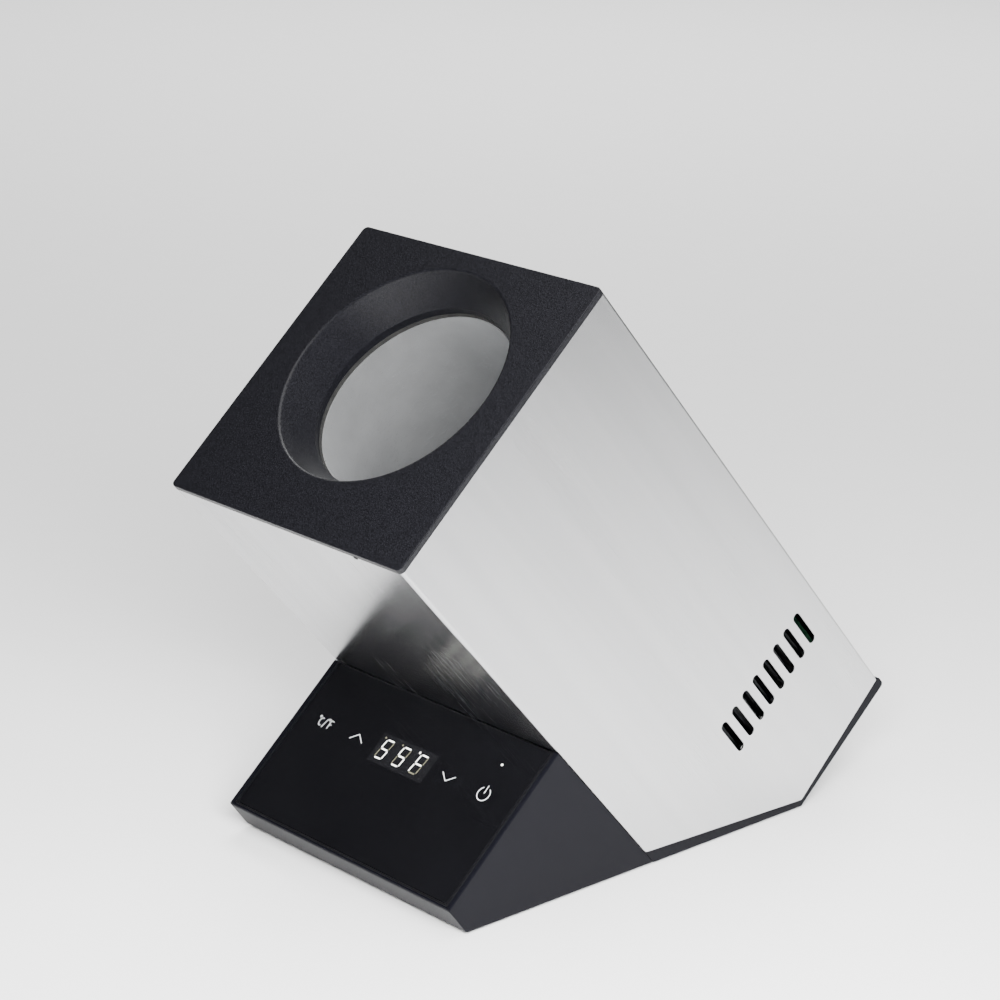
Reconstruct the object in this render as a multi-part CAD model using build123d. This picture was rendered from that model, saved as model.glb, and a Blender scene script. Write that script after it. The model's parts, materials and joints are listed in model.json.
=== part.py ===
from build123d import *
import math
import os

# Countertop thermoelectric wine cooler for one bottle.
# A square steel barrel leans forward over a black base; a wedge in front carries the touch panel.
#
# Everything is first built in the barrel's own frame, with the barrel standing upright:
#   X  across the cooler, 0 in the middle
#   Y  from the barrel's front wall (0) to its back wall (body_width)
#   Z  along the barrel's axis, 0 at the face of the top cap, negative downwards
# place() then leans it forward and stands it on its feet. All lengths are in mm.

# ---- Driving dimensions: outside ----
body_width = 150.0          # square barrel, across the flats
lean = 43.0                 # of the barrel's axis from the vertical, degrees
lip_height = 174.2          # of the cap's front edge above the underside of the base
shell_thickness = 0.8
shell_radius = 1.5
shell_front = 229.3         # length of the front wall, from the cap's face
shell_keel = 306.6          # where the slanted foot of the side walls ends
shell_back = 304.8          # length of the back wall
keel_depth = 78.0           # of the keel behind the front wall
base_edge = 2.0             # visible edge of the base moulding
base_end = 311.0            # back corner of the base, from the cap's face
base_overhang = 1.1         # of the base behind the back wall
edge_gap = 0.4              # between the steel's edge and the base
rim_wall = 1.8              # of the base's rim inside the steel

# ---- Side vents ----
vent_count = 8
vent_pitch = 9.06
vent_width = 4.6
vent_length = 22.2
vent_level = 236.1
vent_middle = 101.9         # middle of the row, behind the front wall

# ---- Cap and bottle well ----
cap_lip = 2.8
cap_overhang = 0.3
cap_corner = 2.6
cap_edge = 0.5
cap_skirt = 14.0
cap_wall = 2.4
lip_tab_x = 46.0            # small tab under the cap's front edge
funnel_radius = 56.8        # of the mouth in the cap's face
throat_radius = 48.8        # where the funnel meets the well
funnel_depth = 17.3
throat_lip = 3.5
throat_wall = 2.4
well_radius = 48.0
well_y = 83.7               # middle of the well, behind the front wall
well_floor = 195.0
well_corner = 6.0
liner_wall = 1.5
liner_floor = 4.0
flange_width = 3.0
gasket_height = 2.0
pad_height = 2.0
foam_wall = 12.0
fit_gap = 0.2

# ---- Cooling stack, below the well ----
cooler_y = 80.0             # middle of the thermoelectric module
module_side = 40.0
module_height = 3.8
block_width = 70.0
block_depth = 44.0
block_height = 17.0
plate_height = 3.0
sink_y = 92.0               # middle of the heat sink and of the fan
sink_width = 140.0
sink_depth = 84.0
sink_base = 5.0
fin_height = 30.0
fin_thickness = 1.0
fin_count = 25

# ---- Fan ----
fan_side = 80.0
fan_height = 20.0
fan_bore = 38.0
fan_hole_pitch = 71.5
blade_count = 7
blade_tip = 36.5
hub_radius = 14.5
shaft_radius = 1.0
shaft_clearance = 0.05

# ---- Control wedge ----
panel_level = 142.0         # of the panel, from the cap's face
panel_depth = 84.4          # from the barrel's front wall to the wedge's lip
panel_tilt = 0.9            # of the panel off square to the barrel, its front edge raised, degrees
lip_draft = 1.2             # by which the lip face stands out at its foot
wedge_wall = 2.2
lip_wall = 1.2
lip_groove = 0.4            # shallow line along the lip, below its top edge
groove_level = 1.2
wedge_gap = 0.2
glass_side_inset = 4.1
glass_front_inset = 2.4
glass_back_inset = 0.5
glass_thickness = 2.0
glass_drop = 0.3
glass_radius = 1.8
bezel_gap = 0.25
bezel_floor = 1.5
board_level = 154.0         # of the touch board
key_y = -30.5               # the row of keys and the display, in front of the barrel
key_x = (-54.6, -32.0, 28.7, 52.2)   # unit, up, down and power keys
display_x = -1.0
display_width = 37.0
display_depth = 15.0

# ---- Cable window and wedge screws, shared by the wedge, the shell and its brackets ----
cable_x = 20.0
cable_level = 170.0
cable_window = (18.0, 8.0)
bracket_levels = (158.0, 208.0)
bracket_length = 120.0
wedge_screw_places = [(x, level) for level in bracket_levels for x in (-50.0, 50.0)]

# ---- Power board, intake grille and power socket ----
board_y = 141.8
board_thickness = 1.6
board_width = 112.0
board_top = 232.0
board_bottom = 299.0
intake_count = 11
intake_pitch = 6.4
intake_width = 3.2
intake_length = 50.0
intake_middle = 16.0        # no slots closer to the middle than this, under the fan's hub
intake_y = 110.0
jack_x = 46.0
jack_y = 114.0
jack_side = 11.0
jack_depth = 14.0

# ---- Feet and screws ----
foot_radius = 7.0
foot_height = 2.6
foot_recess = 1.4
tie_x = 64.0
tie_y = (11.0, 139.0)
post_y = (86.0, 124.0)
post_radius = 4.0
post_bottom = 302.0
screw_seat = 305.6
foot_x = 56.0
rear_feet = [(-foot_x, 60.0), (foot_x, 60.0)]
front_feet = [(-foot_x, -70.0), (foot_x, -70.0)]

# ---- Levels worked out from the above, all measured down from the cap's face ----
throat_bottom = funnel_depth + throat_lip
well_top = throat_bottom + gasket_height
liner_bottom = well_floor + liner_floor
block_bottom = liner_bottom + block_height
module_bottom = block_bottom + module_height
plate_top = block_bottom + 0.4
plate_bottom = plate_top + plate_height
sink_bottom = module_bottom + sink_base
fin_bottom = sink_bottom + fin_height
fan_top = fin_bottom + 1.2
fan_bottom = fan_top + fan_height
inside_width = body_width - 2 * shell_thickness
foam_radius = well_radius + liner_wall + fit_gap + foam_wall

panel_rise = math.tan(math.radians(panel_tilt))
lean_sin = math.sin(math.radians(lean))
lean_cos = math.cos(math.radians(lean))


def ground(y):
    """Z at which the underside of the base lies, for a given Y, in the barrel's frame."""
    return (-lip_height - y * lean_sin) / lean_cos


def on_ground(x, y, height=0.0):
    """A place on the underside of the base, with its Z square to the ground."""
    return Location((x, y, ground(y)), (-lean, 0, 0)) * Location((0, 0, height))


def prism(points, width):
    """A profile in the YZ plane, drawn out evenly to both sides."""
    outline = Polyline(*[(0, y, z) for y, z in points], close=True)
    return extrude(make_face(outline), amount=width / 2, dir=(1, 0, 0), both=True)


def slab(width, depth, top, bottom, y, radius=0.0, x=0.0):
    """A flat block with rounded corners between two levels below the cap's face."""
    sketch = RectangleRounded(width, depth, radius) if radius else Rectangle(width, depth)
    return Pos(x, y, -bottom) * extrude(sketch, amount=bottom - top)


def disc(radius, top, bottom, y, x=0.0):
    """A round block between two levels below the cap's face."""
    return Pos(x, y, -bottom) * extrude(Circle(radius), amount=bottom - top)


def turned(points, y, x=0.0):
    """A ring turned about an axis along the barrel, from (radius, depth) points."""
    outline = Polyline(*[(r, 0, -depth) for r, depth in points], close=True)
    return Pos(x, y, 0) * revolve(make_face(outline), Axis.Z)


def screw(head_radius, head_height, shank_radius, length, drive=1.0):
    """A pan-head screw along Z, its head's underside at Z = 0 and its head below."""
    head = Pos(0, 0, -head_height) * extrude(Circle(head_radius), amount=head_height)
    shank = extrude(Circle(shank_radius), amount=length)
    cross = Rectangle(head_radius * 1.2, 0.6) + Rectangle(0.6, head_radius * 1.2)
    socket = Pos(0, 0, -head_height) * extrude(cross, amount=drive)
    return head + shank - socket


parts = {}


# ---- Base outline: along the ground, then up the slanted end face ----
base_heel = (76.0, ground(76.0))
base_back = (body_width + base_overhang, -base_end)
ground_shift = (base_edge - base_edge * lean_cos) / lean_sin


def base_outline(inset, y_front, y_back, z_top):
    """The base's profile, drawn in by the same amount along the ground and the end face."""
    scale = inset / base_edge
    heel = (base_heel[0] + ground_shift * scale, base_heel[1] + inset)
    front_z = heel[1] + (heel[0] - y_front) * lean_sin / lean_cos
    end_slope = (base_back[1] - base_heel[1]) / (base_back[0] - base_heel[0])
    back_z = heel[1] + (y_back - heel[0]) * end_slope
    return [(y_front, front_z), heel, (y_back, back_z), (y_back, z_top), (y_front, z_top)]


# ---- Steel shell ----
def make_steel_shell():
    outer = slab(body_width, body_width, cap_lip, 330, body_width / 2, shell_radius)
    inner_radius = shell_radius - shell_thickness
    hollow = slab(inside_width, inside_width, 0, 340, body_width / 2, inner_radius)
    keep = prism([(-5, 0), (-5, -shell_front + 5 * (shell_keel - shell_front) / keel_depth),
                  (keel_depth, -shell_keel), (body_width, -shell_back),
                  (body_width + 5, -shell_back), (body_width + 5, 0)], body_width + 10)
    shell = (outer - hollow) & keep
    vent = extrude(Plane.YZ * SlotOverall(vent_length, vent_width, rotation=90),
                   amount=body_width, both=True)
    for i in range(vent_count):
        y = vent_middle + (i - (vent_count - 1) / 2) * vent_pitch
        shell -= Pos(0, y, -vent_level) * vent
    window = Pos(cable_x, 0, -cable_level) * Box(cable_window[0], 4, cable_window[1])
    shell -= window
    hole = Rot(90, 0, 0) * Cylinder(1.8, 6)
    for x, level in wedge_screw_places:
        shell -= Pos(x, 0, -level) * hole
    return shell


parts["steel_shell"] = make_steel_shell()


# ---- Top cap: square face, round funnel, skirt and four screw bosses ----
def make_top_cap():
    side = body_width + 2 * cap_overhang
    rim = funnel_radius + 3
    rim_round = 1.1
    face = slab(side, side, 0, cap_lip, body_width / 2, cap_corner)
    face = fillet(face.faces().sort_by(Axis.Z)[-1].edges(), cap_edge)
    face -= disc(rim, -1, cap_lip + 1, well_y)
    rim_start = Vector(rim, 0, 0)
    rim_bend = Vector(funnel_radius + rim_round, 0, 0)
    slope_start = Vector(funnel_radius - 0.4, 0, -rim_round)
    throat_top = Vector(throat_radius, 0, -funnel_depth)
    profile = Line(rim_start, rim_bend)
    profile += TangentArc(rim_bend, slope_start, tangent=(-1, 0, 0))
    profile += Line(slope_start, throat_top)
    throat_outside = throat_radius + throat_wall
    profile += Polyline(throat_top, (throat_radius, 0, -throat_bottom),
                        (throat_outside, 0, -throat_bottom), (throat_outside, 0, -funnel_depth + 1),
                        (rim, 0, -cap_lip), rim_start)
    funnel = Pos(0, well_y, 0) * revolve(make_face(profile), Axis.Z)
    skirt_side = inside_width - 2 * fit_gap
    skirt = slab(skirt_side, skirt_side, cap_lip, cap_skirt, body_width / 2, 1.5)
    hollow_side = skirt_side - 2 * cap_wall
    skirt -= slab(hollow_side, hollow_side, 0, cap_skirt + 1, body_width / 2, 1.0)
    cap = face + funnel + skirt
    for x in (-tie_x, tie_x):
        for y in tie_y:
            cap += disc(4.4, cap_lip - 0.5, cap_skirt + 8, y, x)
            cap -= disc(2.05, 8, cap_skirt + 9, y, x)
    tab = Pos(lip_tab_x, 0.1 - cap_overhang, -cap_lip - 0.5) * Box(1.8, 0.6, 1.2)
    return cap + tab


parts["top_cap"] = make_top_cap()

parts["mouth_gasket"] = turned(
    [(throat_radius - 0.3, throat_bottom), (throat_radius + 1.8, throat_bottom),
     (throat_radius + 1.8, well_top), (throat_radius - 0.3, well_top)], well_y)


# ---- Well: drawn aluminium cup, rest pad, foam jacket and sensor ----
def make_well_liner():
    outer_radius = well_radius + liner_wall
    body = disc(outer_radius, well_top, liner_bottom, well_y)
    body = fillet(body.faces().sort_by(Axis.Z)[0].edges(), 3.0)
    body += disc(outer_radius + flange_width, well_top, well_top + liner_wall, well_y)
    hollow = disc(well_radius, well_top - 10, well_floor, well_y)
    hollow = fillet(hollow.faces().sort_by(Axis.Z)[0].edges(), well_corner)
    return body - hollow


parts["well_liner"] = make_well_liner()
parts["bottle_pad"] = fillet(
    disc(well_radius - well_corner - 1.5, well_floor - pad_height, well_floor, well_y)
    .faces().sort_by(Axis.Z)[-1].edges(), 0.8)

sensor_level = 150.0
jacket_bore = well_radius + liner_wall + fit_gap
sensor_y = well_y + jacket_bore + 2.6
foam_sleeve = disc(foam_radius, well_top + liner_wall + 0.3, liner_bottom, well_y)
foam_sleeve -= disc(jacket_bore, 0, liner_bottom + 1, well_y)
foam_sleeve -= disc(3.0, sensor_level - 7, sensor_level + 7, sensor_y)
parts["foam_sleeve"] = foam_sleeve

foam_base = disc(foam_radius, liner_bottom + 0.2, plate_top - 0.2, well_y)
foam_base -= slab(block_width + 1, block_depth + 1, liner_bottom - 1, plate_top + 1, cooler_y, 1.0)
parts["foam_base"] = foam_base

sensor = disc(2.4, sensor_level - 6, sensor_level + 6, sensor_y)
parts["temperature_sensor"] = fillet(sensor.edges().filter_by(GeomType.CIRCLE), 0.8)

# ---- Cold block, thermoelectric module and the screws that clamp them ----
clamp_x = 28.0
cold_block = slab(block_width, block_depth, liner_bottom, block_bottom, cooler_y, 1.5)
for x in (-clamp_x, clamp_x):
    cold_block -= disc(2.05, block_bottom - 12, block_bottom + 1, cooler_y, x)
parts["cold_block"] = cold_block


def make_peltier_module():
    plate = 0.8
    module = slab(module_side, module_side, block_bottom, block_bottom + plate, cooler_y)
    module += slab(module_side, module_side, module_bottom - plate, module_bottom, cooler_y)
    pellets = 8
    pitch = module_side / pellets
    for i in range(pellets):
        for j in range(pellets):
            x = (i - (pellets - 1) / 2) * pitch
            y = cooler_y + (j - (pellets - 1) / 2) * pitch
            module += slab(2.4, 2.4, block_bottom + plate, module_bottom - plate, y, 0, x)
    return module


parts["peltier_module"] = make_peltier_module()


# ---- Heat sink: base, fins across the cooler, screw posts for the fan ----
fan_corners = [(x, sink_y + y) for x in (-fan_hole_pitch / 2, fan_hole_pitch / 2)
               for y in (-fan_hole_pitch / 2, fan_hole_pitch / 2)]


def make_heat_sink():
    sink = slab(sink_width, sink_depth, module_bottom, sink_bottom, sink_y, 1.0)
    pitch = (sink_depth - fin_thickness) / (fin_count - 1)
    for i in range(fin_count):
        y = sink_y - sink_depth / 2 + fin_thickness / 2 + i * pitch
        sink += slab(sink_width, fin_thickness, sink_bottom, fin_bottom, y)
    for x, y in fan_corners:
        sink += disc(3.6, sink_bottom, fin_bottom, y, x)
        sink -= disc(1.55, fin_bottom - 14, fin_bottom + 1, y, x)
    for x in (-clamp_x, clamp_x):
        sink -= disc(4.5, sink_bottom, fin_bottom + 1, cooler_y, x)
        sink -= disc(2.05, module_bottom - 1, sink_bottom + 1, cooler_y, x)
    for x in (-tie_x, tie_x):
        for y in post_y:
            sink -= disc(post_radius + 0.8, module_bottom - 1, fin_bottom + 1, y, x)
    return sink


parts["heat_sink"] = make_heat_sink()

clamp_screw = screw(3.8, 2.4, 2.0, sink_base + module_height + 11)
parts["clamp_screws"] = Compound(
    [Pos(x, cooler_y, -sink_bottom) * clamp_screw for x in (-clamp_x, clamp_x)])


# ---- Chassis plate: divides the cold side from the warm side and carries the base ----
def make_chassis_plate():
    side = inside_width - 2 * fit_gap - 0.4
    plate = slab(side, side, plate_top, plate_bottom, body_width / 2, 1.5)
    plate -= slab(block_width + 4, block_depth + 4, plate_top - 1, plate_bottom + 1, cooler_y, 2)
    plate -= slab(cable_window[0], 9, plate_top - 1, plate_bottom + 1, 5, 0, cable_x)
    for x in (-tie_x, tie_x):
        for y in post_y:
            plate += disc(post_radius, plate_bottom, post_bottom, y, x)
            plate -= disc(1.55, post_bottom - 12, post_bottom + 1, y, x)
        for y in tie_y:
            top = plate_top - 1
            plate -= disc(2.2, top, plate_bottom + 1, y, x)
            plate -= disc(4.1, plate_bottom - 1.4, plate_bottom + 14, y, x)
    return plate


parts["chassis_plate"] = make_chassis_plate()

tie_screw = screw(3.6, 1.8, 2.0, plate_bottom - 1.4 - 10)
parts["tie_screws"] = Compound(
    [Pos(x, y, -(plate_bottom - 1.4)) * tie_screw for x in (-tie_x, tie_x) for y in tie_y])


# ---- Fan: frame with bearing tube, sleeve bearing, stator and rotor ----
hub_floor = fan_bottom - 2.4
bearing_top = fan_top + 4.5


def make_fan_frame():
    frame = slab(fan_side, fan_side, fan_top, fan_bottom, sink_y, 4.0)
    frame -= disc(fan_bore, fan_top - 1, fan_bottom + 1, sink_y)
    frame += disc(hub_radius + 0.5, hub_floor, fan_bottom, sink_y)
    for i in range(4):
        strut = Pos(fan_bore / 2 + 6, 0, 0) * Box(fan_bore - 10, 3.2, 2.4)
        frame += Pos(0, sink_y, -fan_bottom + 1.2) * Rot(0, 0, 45 + 90 * i) * strut
    frame += disc(5.0, bearing_top, hub_floor, sink_y)
    frame -= disc(3.0, bearing_top - 1, hub_floor, sink_y)
    for x, y in fan_corners:
        frame -= disc(2.1, fan_top - 1, fan_bottom + 1, y, x)
    return frame


parts["fan_frame"] = make_fan_frame()

bearing_bore = shaft_radius + shaft_clearance
parts["fan_bearing"] = turned(
    [(bearing_bore, bearing_top), (2.95, bearing_top), (2.95, hub_floor - 1),
     (bearing_bore, hub_floor - 1)], sink_y)


def make_fan_stator():
    stator = disc(6.2, bearing_top + 2, hub_floor - 1, sink_y)
    pole_count = 4
    for i in range(pole_count):
        arm = Pos(6.5, 0, 0) * Box(7, 3.4, 5.0)
        shoe = Pos(10.2, 0, 0) * Box(1.6, 9.0, 6.0)
        level = -(bearing_top + hub_floor + 1) / 2
        stator += Pos(0, sink_y, level) * Rot(0, 0, 90 * i) * (arm + shoe)
    return stator - disc(5.1, fan_top, fan_bottom, sink_y)


parts["fan_stator"] = make_fan_stator()


def make_fan_rotor():
    rotor = disc(hub_radius, fan_top + 1.6, hub_floor - 1.2, sink_y)
    rotor = fillet(rotor.faces().sort_by(Axis.Z)[-1].edges(), 1.2)
    rotor -= disc(hub_radius - 1.6, fan_top + 3.2, hub_floor, sink_y)
    rotor += disc(shaft_radius, fan_top + 2.5, hub_floor - 1.6, sink_y)
    blade_pitch = 36.0
    blade_span = blade_tip - hub_radius + 3
    middle = -(fan_top + 1.6 + hub_floor - 1.2) / 2
    ring = Cylinder(blade_tip, 13.0) - Cylinder(hub_radius - 0.6, 20)
    camber = Pos(0, 0, -20) * (Cylinder(24.0, blade_span) - Cylinder(22.8, blade_span + 2))
    arc = camber & Pos(0, 0, -1) * Box(17.0, 60, 200)
    blade = Rot(0, 90, 0) * Rot(0, 0, 90) * Pos(0, 23.4, 20) * arc
    for i in range(blade_count):
        turn = Rot(0, 0, 360 / blade_count * i)
        tilted = Pos((hub_radius + blade_tip) / 2, 0, 0) * Rot(blade_pitch, 0, 0) * blade
        rotor += Pos(0, sink_y, middle) * turn * (tilted & ring)
    return rotor


parts["fan_rotor"] = make_fan_rotor()

fan_screw = screw(2.8, 1.8, 1.5, fan_height + 12)
parts["fan_screws"] = Compound([Pos(x, y, -fan_bottom) * fan_screw for x, y in fan_corners])


# ---- Base tray: visible edge, locating rim inside the shell, intake grille, board ribs ----

def make_base_tray():
    width = body_width
    tray_back = body_width + base_overhang
    rim_side = inside_width - 2 * fit_gap
    inner_side = rim_side - 2 * rim_wall
    outside = prism(base_outline(0, 0.1, tray_back, -200), width)
    inside = prism(base_outline(base_edge, -20, tray_back + 20, -150), width + 10)
    skin = outside - inside
    corner = skin.edges().filter_by(Axis.X).sort_by(Axis.Y)[-2:]
    skin = fillet(corner.sort_by(Axis.Z)[0], base_edge * 0.9)
    # a band flush with the steel fills the height between the ground and the steel's edge
    band_top = [(tray_back, -shell_back), (body_width, -shell_back), (keel_depth, -shell_keel),
                (0.1, -shell_front)]
    edge_band = prism(base_outline(base_edge / 2, 0.1, tray_back, -150)[:3]
                      + [(y, z - edge_gap) for y, z in band_top], width)
    back_corner = edge_band.edges().filter_by(Axis.X).sort_by(Axis.Z)[-3:].sort_by(Axis.Y)[-1]
    edge_band = fillet(back_corner, base_overhang * 0.9)
    skin += edge_band - slab(inner_side, inner_side, 150, 330, body_width / 2, 1.0)
    band = prism(base_outline(base_edge - 0.1, 0, tray_back, -150), width)
    band -= prism(base_outline(base_edge + 12, -20, tray_back + 20, -100), width + 10)
    rim = slab(rim_side, rim_side, 150, 330, body_width / 2, 1.5)
    rim -= slab(inner_side, inner_side, 140, 340, body_width / 2, 1.0)
    tray = skin + (rim & band)
    slot = Pos(0, intake_y, -base_end) * extrude(
        SlotOverall(intake_length, intake_width, rotation=90), amount=12, both=True)
    for i in range(intake_count):
        x = (i - (intake_count - 1) / 2) * intake_pitch
        if abs(x) > intake_middle:
            tray -= Pos(x, 0, 0) * slot
    for side in (-1, 1):
        rib = slab(6, 7, board_bottom - 10, base_end - 1.5, board_y + 0.8, 0, side * board_width / 2)
        tray += rib
    groove = slab(board_width + 0.6, board_thickness + 0.3, board_top, board_bottom + 0.2,
                  board_y + board_thickness / 2)
    tray -= groove
    for x in (-tie_x, tie_x):
        for y in post_y:
            tray += disc(6.5, post_bottom + 0.3, base_end - 2, y, x)
            tray -= disc(1.8, post_bottom - 1, base_end + 2, y, x)
            tray -= disc(3.8, screw_seat, base_end + 2, y, x)
    tray -= slab(jack_side + 0.4, jack_side + 0.4, base_end - jack_depth, base_end - 3.4,
                 jack_y, 0, jack_x)
    tray -= disc(4.6, base_end - 8, base_end + 2, jack_y, jack_x)
    for x, y in rear_feet:
        tray -= on_ground(x, y, foot_recess / 2) * Cylinder(foot_radius + 0.15, foot_recess)
    return tray


parts["base_tray"] = make_base_tray()

base_screw = screw(3.4, 2.0, 1.5, 11)
parts["base_screws"] = Compound(
    [Pos(x, y, -screw_seat) * base_screw for x in (-tie_x, tie_x) for y in post_y])


def make_foot():
    foot = Cylinder(foot_radius, foot_height)
    return fillet(foot.faces().sort_by(Axis.Z)[0].edges(), 0.6)


foot_centre = foot_recess - foot_height / 2
parts["rubber_feet"] = Compound(
    [on_ground(x, y, foot_centre) * make_foot() for x, y in rear_feet + front_feet])


# ---- Power board with its parts, and the power socket ----
board = slab(board_width, board_thickness, board_top, board_bottom, board_y + board_thickness / 2)
parts["power_board"] = board

capacitor_places = [(-30.0, 287.0, 6.3, 20.0), (-14.0, 288.0, 5.0, 16.0), (34.0, 288.0, 5.0, 16.0)]
capacitors = []
for x, level, radius, length in capacitor_places:
    can = Rot(90, 0, 0) * Cylinder(radius, length)
    can = fillet(can.edges().filter_by(GeomType.CIRCLE), 0.8)
    capacitors.append(Pos(x, board_y - length / 2, -level) * can)
parts["capacitors"] = Compound(capacitors)

connector_places = [(4.0, 290.0, 12.0, 8.0), (20.0, 290.0, 14.0, 9.0)]
connectors = []
for x, level, width, depth in connector_places:
    housing = Box(width, depth, 8.0) - Pos(0, -2, 0) * Box(width - 2, depth, 6.0)
    connectors.append(Pos(x, board_y - depth / 2, -level) * housing)
choke = Rot(90, 0, 0) * (Cylinder(8.0, 7.0) - Cylinder(3.4, 8.0))
parts["board_connectors"] = Compound(connectors)
parts["choke"] = Pos(-30.0, board_y - 3.5, -268.0) * fillet(
    choke.edges().filter_by(GeomType.CIRCLE), 1.6)


def make_dc_jack():
    top = base_end - jack_depth
    face = base_end - 3.6
    jack = slab(jack_side, jack_side, top, face, jack_y, 0.5, jack_x)
    jack += disc(4.4, face - 0.5, base_end - 1.4, jack_y, jack_x)
    jack -= disc(3.2, top + 2, base_end + 1, jack_y, jack_x)
    return jack + disc(1.05, top + 1, base_end - 3.6, jack_y, jack_x)


parts["dc_jack"] = make_dc_jack()


# ---- Control wedge: open box under the panel, screwed to the barrel from inside ----
wedge_back = -wedge_gap
wedge_lip = -panel_depth
wedge_foot = -panel_depth - lip_draft


def make_wedge_housing():
    lip_top = -panel_level - wedge_lip * panel_rise
    outline = [(wedge_back, -panel_level - wedge_back * panel_rise), (wedge_lip, lip_top),
               (wedge_foot, ground(wedge_foot)), (wedge_back, ground(wedge_back))]
    outer = prism(outline, body_width)
    foot_edge = outer.edges().filter_by(Axis.X).sort_by(Axis.Y)[0]
    outer = fillet(foot_edge, 3.0)
    lip_edge = outer.edges().filter_by(Axis.X).filter_by_position(
        Axis.Z, lip_top - 0.1, lip_top + 0.1).sort_by(Axis.Y)[0]
    outer = fillet(lip_edge, 0.8)
    side_faces = [outer.faces().sort_by(Axis.X)[0], outer.faces().sort_by(Axis.X)[-1]]
    side_edges = [edge for face in side_faces for edge in face.edges()
                  if edge.center().Y < wedge_back - 0.5]
    outer = fillet(side_edges, 0.6)
    wall = wedge_wall
    front_in = wedge_lip + lip_wall
    back_in = wedge_back - wall
    floor = wall / lean_cos
    hollow = prism([(back_in, -panel_level + 5), (front_in, -panel_level + 5),
                    (front_in, ground(front_in) + floor), (back_in, ground(back_in) + floor)],
                   body_width - 2 * wall)
    wedge = outer - hollow
    groove_y = wedge_lip - lip_draft * groove_level / (lip_top - ground(wedge_foot))
    wedge -= Pos(0, groove_y, lip_top - groove_level) * Box(
        body_width + 2, 2 * lip_groove, lip_groove)
    # the panel's back edge reaches almost to the barrel, so the back wall stops under it
    wedge -= slab(body_width - 2 * wall, 5, panel_level - 2, bezel_bottom, wedge_back)
    wedge -= Pos(cable_x, wedge_back, -cable_level) * Box(cable_window[0], 8, cable_window[1])
    for x, level in wedge_screw_places:
        wedge -= Pos(x, wedge_back, -level) * (Rot(90, 0, 0) * Cylinder(1.8, 8))
    for x, y in front_feet:
        pad = on_ground(x, y, 2.0) * Cylinder(foot_radius + 2.2, 3.2)
        wedge += pad
        wedge -= on_ground(x, y, foot_recess / 2) * Cylinder(foot_radius + 0.15, foot_recess)
    return wedge


bezel_front = wedge_lip + lip_wall + bezel_gap
bezel_back = wedge_back - 0.1
bezel_bottom = panel_level + glass_drop + glass_thickness + bezel_floor
parts["wedge_housing"] = make_wedge_housing()

wedge_screw = Rot(-90, 0, 0) * screw(3.2, 2.0, 1.5, 6.6)
parts["wedge_screws"] = Compound(
    [Pos(x, wedge_back - wedge_wall, -level) * wedge_screw for x, level in wedge_screw_places])

brackets = []
for level in bracket_levels:
    bracket = Pos(0, shell_thickness + 1.1, -level) * Box(bracket_length, 2.0, 12)
    for x in (-50.0, 50.0):
        bracket -= Pos(x, 1, -level) * (Rot(90, 0, 0) * Cylinder(1.55, 8))
    brackets.append(bracket)
parts["front_brackets"] = Compound(brackets)

# ---- Panel: bezel tray, glass, display, touch board and its springs ----
# These are built square to the barrel, then tilted about the panel's back edge.
bezel_side = body_width - 2 * (wedge_wall + bezel_gap)
bezel_depth = bezel_back - bezel_front
bezel_y = (bezel_back + bezel_front) / 2
glass_width = body_width - 2 * glass_side_inset
glass_front = wedge_lip + glass_front_inset
glass_back = -glass_back_inset
glass_depth = glass_back - glass_front
glass_y = (glass_back + glass_front) / 2
glass_top = panel_level + glass_drop
glass_bottom = glass_top + glass_thickness


def make_panel_bezel():
    bezel = slab(bezel_side, bezel_depth, panel_level, bezel_bottom, bezel_y, 1.0)
    bezel = fillet(bezel.faces().sort_by(Axis.Z)[-1].edges(), 0.35)
    seat_depth = glass_depth + 2 * fit_gap
    seat = slab(glass_width + 2 * fit_gap, seat_depth, panel_level - 2, glass_bottom, glass_y,
                glass_radius + fit_gap)
    bezel -= seat
    bezel -= slab(display_width + 0.6, display_depth + 0.6, panel_level, bezel_bottom + 1,
                  key_y, 0, display_x)
    for x in key_x:
        bezel -= disc(4.4, panel_level, bezel_bottom + 1, key_y, x)
    return bezel


parts["panel_bezel"] = make_panel_bezel()

glass = slab(glass_width, glass_depth, glass_top, glass_bottom, glass_y, glass_radius)
parts["panel_glass"] = fillet(glass.faces().sort_by(Axis.Z)[-1].edges(), 0.3)

display = slab(display_width, display_depth, glass_bottom + 0.1, board_level, key_y, 0.4, display_x)
parts["display_module"] = display

touch_board = slab(128, 44, board_level, board_level + 1.2, key_y - 4, 2.0)
parts["touch_board"] = touch_board


def make_touch_springs():
    radius = 3.4
    wire = 0.45
    height = board_level - glass_bottom - 2 * wire - 0.1
    coil = Helix(pitch=height / 4, height=height, radius=radius)
    section = Plane(origin=coil @ 0, z_dir=coil % 0) * Circle(wire)
    spring = sweep(section, path=coil)
    level = -(board_level - wire - 0.05)
    return Compound([Pos(x, key_y, level) * spring for x in key_x])


parts["touch_springs"] = make_touch_springs()


panel_turn = Pos(0, 0, -panel_level) * Rot(-panel_tilt, 0, 0) * Pos(0, 0, panel_level)
for name in ("panel_bezel", "panel_glass", "display_module", "touch_board", "touch_springs"):
    parts[name] = panel_turn * parts[name]


# ---- Flat cable from the touch board to the power board ----
def make_panel_ribbon():
    route = FilletPolyline((0, -30, -155.7), (0, -12, -168), (0, 5, -172), (0, 6, -226),
                           (0, 58, -287), (0, 132, -290), radius=3.5)
    thickness = 1.2
    strip = Plane.YZ * trace(Plane.YZ.to_local_coords(route), line_width=thickness)
    return Pos(cable_x, 0, 0) * extrude(strip, amount=6, dir=(1, 0, 0), both=True)


parts["panel_ribbon"] = make_panel_ribbon()


# ---- Lean the barrel forward, stand it on its feet and write the parts ----
def place(shape):
    return Rot(lean, 0, 0) * shape


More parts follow.
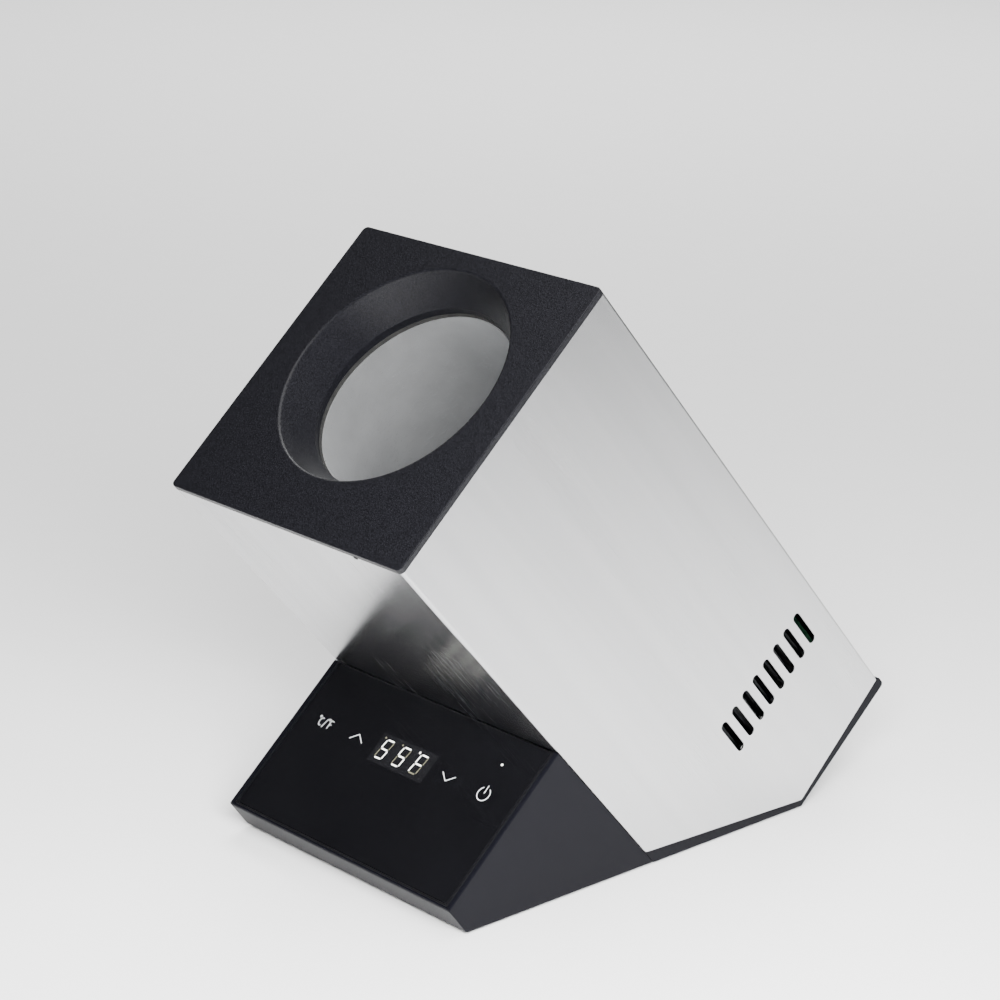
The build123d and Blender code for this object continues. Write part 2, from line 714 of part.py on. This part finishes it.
placed = {name: place(shape) for name, shape in parts.items()}
box = Compound([shape for shape in placed.values()]).bounding_box()
origin = Vector((box.min.X + box.max.X) / 2, (box.min.Y + box.max.Y) / 2, box.min.Z)

os.makedirs("parts", exist_ok=True)
for name, shape in placed.items():
    export_step(Location(-origin) * shape, f"parts/{name}.step")
print("size", round(box.size.X, 2), round(box.size.Y, 2), round(box.size.Z, 2))
print("mouth of the well", (Location(-origin) * place(Pos(0, well_y, -well_top))).position)
print("fan centre", (Location(-origin) * place(Pos(0, sink_y, -fan_bottom))).position)
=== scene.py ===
import json
import math

import bmesh
import bpy
from mathutils import Matrix, Vector


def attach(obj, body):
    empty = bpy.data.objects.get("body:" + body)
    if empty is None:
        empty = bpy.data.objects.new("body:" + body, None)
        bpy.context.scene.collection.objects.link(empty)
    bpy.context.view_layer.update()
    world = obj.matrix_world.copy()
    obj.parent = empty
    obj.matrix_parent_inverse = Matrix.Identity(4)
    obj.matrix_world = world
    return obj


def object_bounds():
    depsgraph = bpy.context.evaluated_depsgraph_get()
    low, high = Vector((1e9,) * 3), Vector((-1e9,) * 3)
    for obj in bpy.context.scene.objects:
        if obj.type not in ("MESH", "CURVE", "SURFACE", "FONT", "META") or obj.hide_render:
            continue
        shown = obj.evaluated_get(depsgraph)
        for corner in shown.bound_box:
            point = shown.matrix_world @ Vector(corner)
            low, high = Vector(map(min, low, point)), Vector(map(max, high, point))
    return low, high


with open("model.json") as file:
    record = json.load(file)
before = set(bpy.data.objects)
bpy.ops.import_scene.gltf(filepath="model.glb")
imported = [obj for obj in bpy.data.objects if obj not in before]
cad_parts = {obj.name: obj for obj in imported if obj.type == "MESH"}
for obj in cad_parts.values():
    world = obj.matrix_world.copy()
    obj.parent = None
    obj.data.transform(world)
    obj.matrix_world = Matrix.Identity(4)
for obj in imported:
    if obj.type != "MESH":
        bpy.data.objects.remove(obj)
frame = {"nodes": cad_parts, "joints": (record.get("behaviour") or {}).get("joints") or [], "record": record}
cad_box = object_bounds()
nodes = frame["nodes"]

MM = 0.001
HOUSING = "housing"

# ---- The barrel's own frame: X across, Y from its front wall backwards, Z up along its axis ----
axis = Vector(frame["joints"][0]["axis"]).normalized()
lean = math.atan2(-axis.y, axis.z)
barrel = Matrix.Rotation(lean, 4, "X")


def barrel_box(node):
    """Lowest and highest corner of a CAD node in the barrel's frame."""
    turn = barrel.inverted()
    points = [turn @ v.co for v in nodes[node].data.vertices]
    low = Vector([min(p[i] for p in points) for i in range(3)])
    high = Vector([max(p[i] for p in points) for i in range(3)])
    return low, high


# ---- Camera ----
CAMERA_AZIMUTH = math.radians(45.68)
CAMERA_ELEVATION = math.radians(17.12)
CAMERA_ROLL = math.radians(2.2)
CAMERA_DISTANCE = 1.328
CAMERA_LENS = 103.47
AIM_OFFSET = Vector((-0.0198, -0.0131, 0.0154))     # from the middle of the object's box


def make_camera():
    centre = (cad_box[0] + cad_box[1]) / 2
    back = Vector((math.sin(CAMERA_AZIMUTH) * math.cos(CAMERA_ELEVATION),
                   -math.cos(CAMERA_AZIMUTH) * math.cos(CAMERA_ELEVATION),
                   math.sin(CAMERA_ELEVATION)))
    data = bpy.data.cameras.new("camera")
    data.lens = CAMERA_LENS
    data.sensor_width = 36.0
    data.clip_start = 0.05
    data.clip_end = 60.0
    camera = bpy.data.objects.new("camera", data)
    level = (-back).to_track_quat("-Z", "Y").to_matrix().to_4x4()
    place = Matrix.Translation(centre + AIM_OFFSET + back * CAMERA_DISTANCE)
    camera.matrix_world = place @ level @ Matrix.Rotation(CAMERA_ROLL, 4, "Z")
    bpy.context.scene.collection.objects.link(camera)
    bpy.context.scene.camera = camera


make_camera()


# ---- Material helpers ----
class Shader:
    """A Principled material whose inputs are fed by procedural textures in millimetres."""

    def __init__(self, name, **values):
        self.material = bpy.data.materials.new(name)
        self.material.use_nodes = True
        self.tree = self.material.node_tree
        self.links = self.tree.links
        self.bsdf = self.tree.nodes["Principled BSDF"]
        for key, value in values.items():
            self.bsdf.inputs[key.replace("_", " ")].default_value = value

    def node(self, kind, **settings):
        made = self.tree.nodes.new(kind)
        for key, value in settings.items():
            setattr(made, key, value)
        return made

    def space(self, stretch=(1, 1, 1)):
        """Object coordinates in the barrel's frame, in millimetres, each axis scaled."""
        coord = self.node("ShaderNodeTexCoord")
        turn = self.node("ShaderNodeMapping")
        turn.inputs["Rotation"].default_value = (-lean, 0, 0)
        turn.inputs["Scale"].default_value = (1 / MM,) * 3
        scale = self.node("ShaderNodeMapping")
        scale.inputs["Scale"].default_value = stretch
        self.links.new(coord.outputs["Object"], turn.inputs["Vector"])
        self.links.new(turn.outputs["Vector"], scale.inputs["Vector"])
        return scale.outputs["Vector"]

    def noise(self, size, stretch=(1, 1, 1), detail=3.0, roughness=0.5):
        """Noise whose grains are about size millimetres across."""
        made = self.node("ShaderNodeTexNoise")
        made.inputs["Scale"].default_value = 1 / size
        made.inputs["Detail"].default_value = detail
        made.inputs["Roughness"].default_value = roughness
        self.links.new(self.space(stretch), made.inputs["Vector"])
        return made.outputs["Fac"]

    def cells(self, size, feature="F1"):
        """Cells about size millimetres across."""
        made = self.node("ShaderNodeTexVoronoi", feature=feature)
        made.inputs["Scale"].default_value = 1 / size
        self.links.new(self.space(), made.inputs["Vector"])
        return made.outputs["Distance"]

    def ramp(self, fac, low, high, start=0.3, end=0.7):
        """Maps a factor to a range of numbers."""
        made = self.node("ShaderNodeMapRange")
        for name, value in (("From Min", start), ("From Max", end), ("To Min", low),
                            ("To Max", high)):
            made.inputs[name].default_value = value
        self.links.new(fac, made.inputs["Value"])
        return made.outputs["Result"]

    def blend(self, fac, dark, light):
        """Mixes two colours by a factor."""
        made = self.node("ShaderNodeMix", data_type="RGBA")
        self.links.new(fac, made.inputs["Factor"])
        made.inputs["A"].default_value = (*dark, 1)
        made.inputs["B"].default_value = (*light, 1)
        return made.outputs["Result"]

    def feed(self, name, output):
        self.links.new(output, self.bsdf.inputs[name])

    def bump(self, height, depth):
        """Adds a height field, depth millimetres deep, on top of any bump already there."""
        made = self.node("ShaderNodeBump")
        made.inputs["Distance"].default_value = depth * MM
        made.inputs["Strength"].default_value = 1.0
        self.links.new(height, made.inputs["Height"])
        normal = self.bsdf.inputs["Normal"]
        if normal.is_linked:
            self.links.new(normal.links[0].from_socket, made.inputs["Normal"])
        self.links.new(made.outputs["Normal"], normal)


def brushed_steel():
    """Sheet brushed along the barrel: fine grain, a little waviness, and painted shade that turns it greyer
    toward the cap.
    """
    steel = Shader("brushed_stainless", Metallic=1.0, Anisotropic=0.65, Anisotropic_Rotation=0.25)
    fine = steel.noise(0.30, (1, 1, 0.010), detail=2.0)
    broad = steel.noise(9.0, (1, 1, 0.03), detail=2.0)
    cloud = steel.noise(70.0, (1, 1, 0.6), detail=1.0)
    split = steel.node("ShaderNodeSeparateXYZ")
    steel.links.new(steel.space(), split.inputs["Vector"])
    # Painted shade: the base colour grows darker from the foot toward the cap, in place of the dimmer
    # reflection there; the broad noise adds tone at random.
    foot, top = (corner.z / MM for corner in barrel_box("steel_shell"))
    tone = steel.node("ShaderNodeMath", operation="ADD")
    steel.links.new(steel.ramp(broad, 0, 0.2), tone.inputs[0])
    steel.links.new(steel.ramp(split.outputs["Z"], 0.8, 0, foot, top), tone.inputs[1])
    steel.feed("Base Color", steel.blend(tone.outputs["Value"], (0.450, 0.452, 0.460),
                                         (0.670, 0.672, 0.677)))
    rough = steel.node("ShaderNodeMath", operation="ADD")
    steel.links.new(steel.ramp(fine, 0.20, 0.25), rough.inputs[0])
    steel.links.new(steel.ramp(cloud, 0.0, 0.04), rough.inputs[1])
    steel.feed("Roughness", rough.outputs["Value"])
    tangent = steel.node("ShaderNodeCombineXYZ")
    for name, value in zip("XYZ", axis):
        tangent.inputs[name].default_value = value
    steel.feed("Tangent", tangent.outputs["Vector"])
    steel.bump(fine, 0.0025)
    return steel.material


def textured_plastic(name, tone, grain, depth, roughness, blue=1.0, shine=0.5, speckle=0.15):
    """Moulded plastic with a fine spark-eroded grain."""
    plastic = Shader(name, Specular_IOR_Level=shine)
    fine = plastic.noise(grain, detail=2.0, roughness=0.6)
    dark, light = ((tone * k, tone * k, tone * k * blue) for k in (1 - speckle, 1 + speckle))
    plastic.feed("Base Color", plastic.blend(plastic.ramp(fine, 0, 1, 0.35, 0.75), dark, light))
    plastic.feed("Roughness", plastic.ramp(fine, roughness - 0.06, roughness + 0.08))
    plastic.bump(fine, depth)
    return plastic.material


def panel_glass():
    """Smooth dark glass with a faint uneven shine."""
    glass = Shader("black_glass", IOR=1.5)
    broad = glass.noise(40.0, detail=1.0)
    smear = glass.noise(9.0, (1, 0.4, 1), detail=4.0)
    glass.feed("Base Color", glass.blend(broad, (0.0022, 0.0022, 0.0028), (0.0036, 0.0036, 0.0044)))
    glass.feed("Roughness", glass.ramp(smear, 0.03, 0.06))
    return glass.material


def metal(name, colour, roughness, stretch=(1, 1, 1), grain=0.6, bare=1.0):
    """Metal with tool marks drawn out along the stretched axis; a satin finish is less bare."""
    made = Shader(name, Metallic=bare)
    marks = made.noise(grain, stretch, detail=3.0)
    broad = made.noise(15.0, detail=2.0)
    dark = tuple(c * 0.9 for c in colour)
    made.feed("Base Color", made.blend(made.ramp(broad, 0, 1), dark, colour))
    made.feed("Roughness", made.ramp(marks, roughness - 0.08, roughness + 0.1))
    made.bump(marks, 0.01)
    return made.material


def rubber():
    """Dull moulded rubber with a little dust in its grain."""
    made = Shader("black_rubber")
    grain = made.noise(0.5, detail=3.0)
    dust = made.noise(6.0, detail=4.0)
    tone = made.ramp(dust, 0, 1)
    made.feed("Base Color", made.blend(tone, (0.012, 0.012, 0.012), (0.022, 0.022, 0.021)))
    made.feed("Roughness", made.ramp(grain, 0.6, 0.8))
    made.bump(grain, 0.03)
    return made.material


def foam():
    """Bonded foam beads."""
    made = Shader("white_foam", Subsurface_Weight=0.1)
    beads = made.cells(3.2)
    tone = made.ramp(beads, 0, 1, 0.2, 0.8)
    made.feed("Base Color", made.blend(tone, (0.86, 0.86, 0.84), (0.70, 0.70, 0.68)))
    made.feed("Roughness", made.ramp(beads, 0.7, 0.9, 0.0, 1.0))
    made.bump(beads, 0.3)
    return made.material


def plain_mineral(name, light, dark, size, roughness, bump=0.02):
    """Ceramic, epoxy, lacquer and other fine-grained bodies."""
    made = Shader(name)
    grain = made.noise(size, detail=4.0)
    made.feed("Base Color", made.blend(made.ramp(grain, 0, 1), dark, light))
    made.feed("Roughness", made.ramp(grain, roughness - 0.05, roughness + 0.08))
    made.bump(grain, bump)
    return made.material


def circuit_board():
    """Green solder mask over copper tracks."""
    made = Shader("circuit_board", Coat_Weight=0.4, Coat_Roughness=0.2)
    tracks = made.cells(5.0, feature="DISTANCE_TO_EDGE")
    line = made.ramp(tracks, 1, 0, 0.03, 0.06)
    made.feed("Base Color", made.blend(line, (0.008, 0.040, 0.020), (0.030, 0.090, 0.050)))
    made.feed("Roughness", made.ramp(made.noise(0.6), 0.3, 0.45))
    made.bump(line, 0.04)
    return made.material


def lamp(name, colour, strength):
    """Anything that glows, a little uneven as a diffuser is; the printed legends are given this glow too, as
    painted light.
    """
    made = Shader(name, Emission_Strength=strength, Roughness=0.4)
    uneven = made.noise(0.8, detail=1.0)
    dim = tuple(c * 0.86 for c in colour)
    made.feed("Emission Color", made.blend(uneven, dim, colour))
    made.feed("Base Color", made.blend(uneven, dim, colour))
    return made.material


materials = {
    "brushed_stainless": brushed_steel(),
    "black_textured_plastic": textured_plastic(
        "black_textured_plastic", 0.0050, 0.60, 0.09, 0.40, 1.3, 0.25, 0.6),
    "base_plastic": textured_plastic("base_plastic", 0.0035, 0.35, 0.010, 0.42, 1.5, 0.07),
    "bezel_plastic": textured_plastic("bezel_plastic", 0.004, 0.30, 0.005, 0.32, 1.2, 0.25),
    "black_glass": panel_glass(),
    "black_rubber": rubber(),
    "bare_aluminium": metal("bare_aluminium", (0.82, 0.83, 0.84), 0.34, (1, 1, 20), 3.0, 0.9),
    "black_anodised": metal("black_anodised", (0.055, 0.056, 0.060), 0.5, (0.1, 1, 1)),
    "white_foam": foam(),
    "module_ceramic": plain_mineral(
        "module_ceramic", (0.86, 0.86, 0.83), (0.74, 0.74, 0.72), 1.0, 0.4),
    "chassis_plastic": textured_plastic("chassis_plastic", 0.012, 0.5, 0.02, 0.5),
    "zinc_steel": metal("zinc_steel", (0.62, 0.62, 0.60), 0.32),
    "bracket_steel": metal("bracket_steel", (0.58, 0.59, 0.60), 0.42),
    "fan_plastic": textured_plastic("fan_plastic", 0.012, 0.6, 0.01, 0.38),
    "bearing_brass": metal("bearing_brass", (0.72, 0.52, 0.22), 0.3),
    "stator_laminations": metal("stator_laminations", (0.45, 0.26, 0.16), 0.45, (1, 1, 6)),
    "circuit_board": circuit_board(),
    "component_black": plain_mineral(
        "component_black", (0.020, 0.020, 0.022), (0.012, 0.012, 0.013), 0.5, 0.4),
    "connector_nylon": plain_mineral(
        "connector_nylon", (0.80, 0.79, 0.74), (0.70, 0.69, 0.65), 2.0, 0.45),
    "copper_winding": metal("copper_winding", (0.60, 0.26, 0.12), 0.28, (1, 6, 1)),
    "sensor_epoxy": plain_mineral(
        "sensor_epoxy", (0.02, 0.02, 0.02), (0.01, 0.01, 0.01), 1.0, 0.25),
    "ribbon_cable": plain_mineral(
        "ribbon_cable", (0.60, 0.60, 0.62), (0.48, 0.48, 0.50), 1.27, 0.4),
}

for part in frame["record"]["subparts"]:
    node = nodes[part["node"]]
    node.data.materials.clear()
    node.data.materials.append(materials[part["material_slot"]])


# ---- Printed legends and display, on the panel glass ----
def panel_frame():
    """The top face of the glass: X across, Y backwards with 0 at the barrel's front, Z outwards."""
    up = barrel @ Vector((0, 0, 1))
    faces = [face for face in nodes["panel_glass"].data.polygons if face.normal.dot(up) > 0.99]
    widest = max(faces, key=lambda face: face.area)
    normal = widest.normal.normalized()
    on_face = widest.center
    back = Vector((0, normal.z, -normal.y)).normalized()
    wall = barrel @ Vector((0, barrel_box("steel_shell")[0].y, 0))
    wall_normal = barrel @ Vector((0, -1, 0))
    start = Vector((0, on_face.y, on_face.z))
    reach = (wall - start).dot(wall_normal) / back.dot(wall_normal)
    origin = start + back * reach
    turn = Matrix((Vector((1, 0, 0)), back, normal)).transposed().to_4x4()
    return Matrix.Translation(origin) @ turn


panel = panel_frame()

INK_HEIGHT = 0.04 * MM
WINDOW_HEIGHT = 0.02 * MM
INK_LIFT = 0.01 * MM            # keeps the ink clear of the glass
KEY_ROW = -30.5 * MM            # the row of keys and digits, in front of the barrel
KEY_STROKE = 0.24 * MM
UNIT_X = -54.6 * MM             # the keys, across from the panel's middle
UP_X = -32.0 * MM
DOWN_X = 28.7 * MM
POWER_X = 52.2 * MM
STATUS_PLACE = (51.3 * MM, -14.9 * MM)
STATUS_RADIUS = 0.55 * MM


def new_piece(name, build, material, body=HOUSING):
    """A mesh piece made by build(bm), riding on a body."""
    bm = bmesh.new()
    build(bm)
    bmesh.ops.recalc_face_normals(bm, faces=bm.faces)
    mesh = bpy.data.meshes.new(name)
    bm.to_mesh(mesh)
    bm.free()
    piece = bpy.data.objects.new(name, mesh)
    bpy.context.scene.collection.objects.link(piece)
    mesh.materials.append(material)
    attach(piece, body)
    return piece


def panel_point(x, y, height=0.0):
    """A point on the glass: x across, y measured from the barrel's front, in metres."""
    return panel @ Vector((x, y, INK_LIFT + height))


def panel_shape(bm, outline, lift=0.0, height=INK_HEIGHT):
    """A flat shape on the glass with a little thickness, from its outline."""
    lower = [bm.verts.new(panel_point(x, y, lift)) for x, y in outline]
    upper = [bm.verts.new(panel_point(x, y, lift + height)) for x, y in outline]
    bm.faces.new(lower[::-1])
    bm.faces.new(upper)
    count = len(outline)
    for i in range(count):
        j = (i + 1) % count
        bm.faces.new((lower[i], lower[j], upper[j], upper[i]))


def stroke_outline(points, width):
    """The outline of a line of constant width through open points, mitred at its corners."""
    left, right = [], []
    count = len(points)
    for i, point in enumerate(points):
        before = Vector(points[max(i - 1, 0)])
        after = Vector(points[min(i + 1, count - 1)])
        here = Vector(point)
        sides = []
        for a, b in ((before, here), (here, after)):
            if (b - a).length > 0:
                along = (b - a).normalized()
                sides.append(Vector((-along.y, along.x)))
        side = sum(sides, Vector((0, 0))).normalized()
        reach = width / 2 / max(side.dot(sides[0]), 0.3)
        left.append(here + side * reach)
        right.append(here - side * reach)
    return [tuple(p) for p in left + right[::-1]]


def arc(cx, cy, radius, start, end, steps=28):
    """Points along an arc, angles in degrees."""
    turns = [math.radians(start + (end - start) * i / steps) for i in range(steps + 1)]
    return [(cx + radius * math.cos(t), cy + radius * math.sin(t)) for t in turns]


def strokes(name, lines, width):
    """White legend strokes as one piece, given a painted glow."""
    def build(bm):
        for line in lines:
            panel_shape(bm, stroke_outline(line, width))
    return new_piece(name, build, painted_glow_ink)


# Painted glow: the printed legends emit light of their own, though print does not shine; the lit segments
# below are real display lights.
painted_glow_ink = lamp("legend_painted_glow_ink", (0.93, 0.94, 0.95), 1.0)
lit = lamp("segment_lit", (1.0, 1.0, 0.93), 2.4)
unlit = plain_mineral(
    "segment_unlit", (0.145, 0.140, 0.095), (0.110, 0.105, 0.070), 1.5, 0.35, 0.0)
window = plain_mineral(
    "display_window", (0.0075, 0.0075, 0.0085), (0.0055, 0.0055, 0.0065), 3.0, 0.12, 0.0)


def chevron(name, x, rise):
    """An arrow key: rise is 1 for up, -1 for down."""
    half, height = 4.2 * MM, 3.5 * MM
    tip = KEY_ROW + rise * height / 2
    foot = KEY_ROW - rise * height / 2
    strokes(name, [[(x - half, foot), (x, tip), (x + half, foot)]], KEY_STROKE)


def unit_legend(x):
    """The temperature unit key: degree C, slash, degree F."""
    tall, stroke = 4.6 * MM, 0.18 * MM
    low, high = KEY_ROW - tall / 2, KEY_ROW + tall / 2
    middle = (low + high) / 2

    def degree(cx):
        return arc(cx, high, 0.45 * MM, 0, 360, 12)

    c_x, f_x = x - 2.9 * MM, x + 2.5 * MM
    c_arc = [(px, middle + (py - middle) * 1.6) for px, py in arc(c_x, middle, 1.25 * MM, 55, 305)]
    f_stem = [(f_x, low), (f_x, high)]
    f_top = [(f_x, high - stroke / 2), (f_x + 2.0 * MM, high - stroke / 2)]
    f_bar = [(f_x, middle + 0.1 * MM), (f_x + 1.6 * MM, middle + 0.1 * MM)]
    slash = [(x - 1.0 * MM, low - 0.2 * MM), (x + 0.2 * MM, high + 0.2 * MM)]
    strokes("legend_unit", [degree(x - 4.9 * MM), c_arc, slash, degree(x + 1.4 * MM),
                            f_stem, f_top, f_bar], stroke)


def power_legend(x):
    """A broken ring with a bar through the gap."""
    radius = 3.4 * MM
    ring = arc(x, KEY_ROW, radius, 122, 418, 40)
    bar = [(x, KEY_ROW + 0.4 * MM), (x, KEY_ROW + radius + 1.0 * MM)]
    strokes("legend_power", [ring, bar], KEY_STROKE)


unit_legend(UNIT_X)
chevron("legend_up", UP_X, 1)
chevron("legend_down", DOWN_X, -1)
power_legend(POWER_X)

# ---- Display: dark window, three seven-segment digits and their dots ----
DIGIT_MIDDLES = [-13.4 * MM, -1.9 * MM, 9.6 * MM]
DIGIT_LIT = ["afgcd", "afgcd", "afge"]      # five, five, F
DIGIT_HALF = 2.35 * MM
DIGIT_TALL = 4.9 * MM                       # from the middle bar to the top bar
DIGIT_SLANT = math.tan(math.radians(7.6))
SEGMENT_ACROSS = 0.66 * MM                  # thickness of the bars that lie across
SEGMENT_UP = 0.48 * MM                      # thickness of the bars that stand
SEGMENT_GAP = 0.32 * MM
DOT_RADIUS = 0.50 * MM
DOT_ASIDE = 1.7 * MM                        # from the digit's top left corner
DOT_ABOVE = 0.5 * MM
WINDOW_X = (-19.2 * MM, 17.2 * MM)
WINDOW_Y = (-7.6 * MM, 7.6 * MM)            # from the row of keys


def segment(a, b, width):
    """A bar with pointed ends between two joints of a digit."""
    start, end = Vector(a), Vector(b)
    along = (end - start).normalized()
    side = Vector((-along.y, along.x)) * width / 2
    start += along * SEGMENT_GAP
    end -= along * SEGMENT_GAP
    nip = along * width / 2
    shape = [start, start + nip + side, end - nip + side, end, end - nip - side, start + nip - side]
    return [tuple(p) for p in shape]


def digit_segments(x):
    """The seven bars of a leaning digit, by their usual letters."""
    def joint(column, row):
        rise = row * DIGIT_TALL
        return x + column * DIGIT_HALF + rise * DIGIT_SLANT, KEY_ROW + rise
    ends = {"a": ((-1, 1), (1, 1)), "b": ((1, 1), (1, 0)), "c": ((1, 0), (1, -1)),
            "d": ((-1, -1), (1, -1)), "e": ((-1, 0), (-1, -1)), "f": ((-1, 1), (-1, 0)),
            "g": ((-1, 0), (1, 0))}
    return {key: segment(joint(*a), joint(*b), SEGMENT_ACROSS if key in "adg" else SEGMENT_UP)
            for key, (a, b) in ends.items()}


def make_display():
    """The window and its segments, each kind of segment in one piece."""
    lit_shapes, unlit_shapes = [], []
    for index, (x, on) in enumerate(zip(DIGIT_MIDDLES, DIGIT_LIT)):
        for key, shape in digit_segments(x).items():
            (lit_shapes if key in on else unlit_shapes).append(shape)
        dot_x = x - DIGIT_HALF + DIGIT_TALL * DIGIT_SLANT - DOT_ASIDE
        dot = arc(dot_x, KEY_ROW + DIGIT_TALL + DOT_ABOVE, DOT_RADIUS, 0, 337.5, 15)
        (lit_shapes if index == 2 else unlit_shapes).append(dot)

    def filler(shapes):
        def build(bm):
            for shape in shapes:
                panel_shape(bm, shape, WINDOW_HEIGHT)
        return build

    def pane(bm):
        (left, right), (low, high) = WINDOW_X, WINDOW_Y
        corners = [(left, low), (right, low), (right, high), (left, high)]
        panel_shape(bm, [(x, KEY_ROW + y) for x, y in corners], 0.0, WINDOW_HEIGHT)

    new_piece("display_window", pane, window)
    new_piece("display_lit", filler(lit_shapes), lit)
    new_piece("display_unlit", filler(unlit_shapes), unlit)


make_display()


def status_lamp(bm):
    panel_shape(bm, arc(*STATUS_PLACE, STATUS_RADIUS, 0, 345, 23))


new_piece("status_lamp", status_lamp, lit)


# ---- Floor, light and world ----
FLOOR_SIZE = 30.0
ROOM_LOW, ROOM_HIGH = 0.32, 0.30            # how bright the room is at the horizon and overhead
DARK_CORNER = (-0.714, -0.478, 0.511)       # the direction that the sloping faces mirror
DARK_EDGE, DARK_CORE = 0.50, 0.88           # cosines of the angle from it
DARK_SHARE = 0.16                           # of the room's light is left there


def make_floor():
    bm = bmesh.new()
    bmesh.ops.create_grid(bm, x_segments=2, y_segments=2, size=FLOOR_SIZE)
    mesh = bpy.data.meshes.new("floor")
    bm.to_mesh(mesh)
    bm.free()
    floor = bpy.data.objects.new("floor", mesh)
    floor.location.z = cad_box[0].z
    bpy.context.scene.collection.objects.link(floor)
    paper = Shader("floor_paper", Roughness=0.9)
    fibre = paper.noise(30.0, detail=2.0)
    paper.feed("Base Color", paper.blend(fibre, (0.88, 0.88, 0.88), (0.90, 0.90, 0.90)))
    mesh.materials.append(paper.material)


def area_light(name, place, aim, size, power, mirrored=True):
    """A soft rectangular lamp; one that is not mirrored lights only the matt part of surfaces."""
    data = bpy.data.lights.new(name, "AREA")
    data.shape = "RECTANGLE"
    data.size, data.size_y = size
    data.energy = power
    light = bpy.data.objects.new(name, data)
    light.location = place
    light.visible_glossy = mirrored
    light.rotation_mode = "QUATERNION"
    light.rotation_quaternion = (Vector(aim) - Vector(place)).to_track_quat("-Z", "Y")
    bpy.context.scene.collection.objects.link(light)


def make_world():
    """A white room with a dark corner high up, which the sloping glass mirrors."""
    world = bpy.data.worlds.new("world")
    bpy.context.scene.world = world
    world.use_nodes = True
    tree = world.node_tree
    links = tree.links
    coord = tree.nodes.new("ShaderNodeTexCoord")
    back = tree.nodes["Background"]

    split = tree.nodes.new("ShaderNodeSeparateXYZ")
    links.new(coord.outputs["Generated"], split.inputs["Vector"])
    height = tree.nodes.new("ShaderNodeMapRange")
    for name, value in (("From Min", 0.0), ("From Max", 1.0), ("To Min", ROOM_LOW),
                        ("To Max", ROOM_HIGH)):
        height.inputs[name].default_value = value
    links.new(split.outputs["Z"], height.inputs["Value"])

    toward = tree.nodes.new("ShaderNodeVectorMath")
    toward.operation = "DOT_PRODUCT"
    toward.inputs[1].default_value = DARK_CORNER
    links.new(coord.outputs["Generated"], toward.inputs[0])
    flag = tree.nodes.new("ShaderNodeMapRange")
    flag.interpolation_type = "SMOOTHSTEP"
    for name, value in (("From Min", DARK_EDGE), ("From Max", DARK_CORE), ("To Min", 1.0),
                        ("To Max", DARK_SHARE)):
        flag.inputs[name].default_value = value
    links.new(toward.outputs["Value"], flag.inputs["Value"])

    product = tree.nodes.new("ShaderNodeMath")
    product.operation = "MULTIPLY"
    links.new(height.outputs["Result"], product.inputs[0])
    links.new(flag.outputs["Result"], product.inputs[1])
    links.new(product.outputs["Value"], back.inputs["Strength"])
    back.inputs["Color"].default_value = (1.0, 1.0, 1.0, 1)


make_floor()
make_world()
area_light("top", (0.20, -0.15, 0.95), (0.15, 0.0, 0), (0.7, 0.7), 8)
area_light("near", (0.62, -0.50, 0.50), (0.12, 0.05, 0), (0.5, 0.3), 40, mirrored=False)
area_light("background", (-1.6, 1.9, 2.4), (-1.8, 2.0, 0), (2.2, 2.2), 140)
